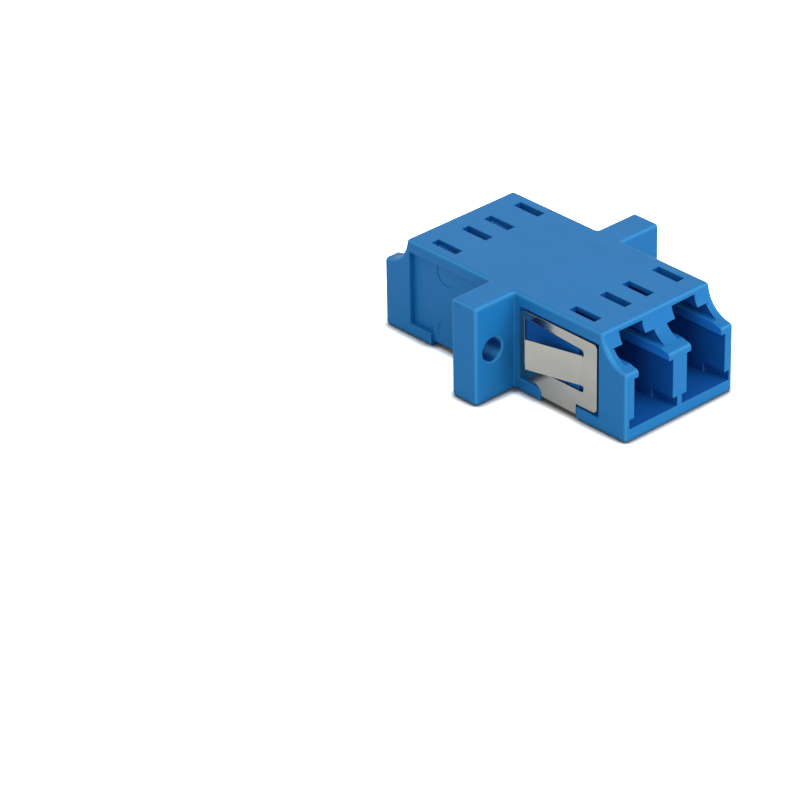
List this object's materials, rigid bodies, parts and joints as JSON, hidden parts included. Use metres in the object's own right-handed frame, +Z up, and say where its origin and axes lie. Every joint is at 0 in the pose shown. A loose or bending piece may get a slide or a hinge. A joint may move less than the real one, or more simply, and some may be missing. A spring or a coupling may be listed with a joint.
{
  "type": "lc fibre adapter",
  "caption": "Duplex fibre-optic adapter: flanged one-piece housing with plug ports at both ends, split sleeves inside, and a spring-steel panel clip on one half.",
  "frame": {"origin": "centre of the underside, midway between the two ends and the two sides", "axes": "+X along the fibres, towards the end whose half carries the clip; +Y across the pair of ports; +Z up, towards the latch windows"},
  "size_m": [0.0294, 0.022, 0.0094],
  "materials": {
    "housing_plastic": "moulded, satin",
    "retainer_plastic": "moulded, satin",
    "spring_steel": "rolled, bright",
    "sleeve_ceramic": "ground, smooth"
  },
  "bodies": {
    "root": {"housing": "housing_plastic", "retaining_clip": "spring_steel", "right_sleeve_retainer": "retainer_plastic", "left_sleeve_retainer": "retainer_plastic", "right_alignment_sleeve": "sleeve_ceramic", "left_alignment_sleeve": "sleeve_ceramic"}
  },
  "joints": []
}
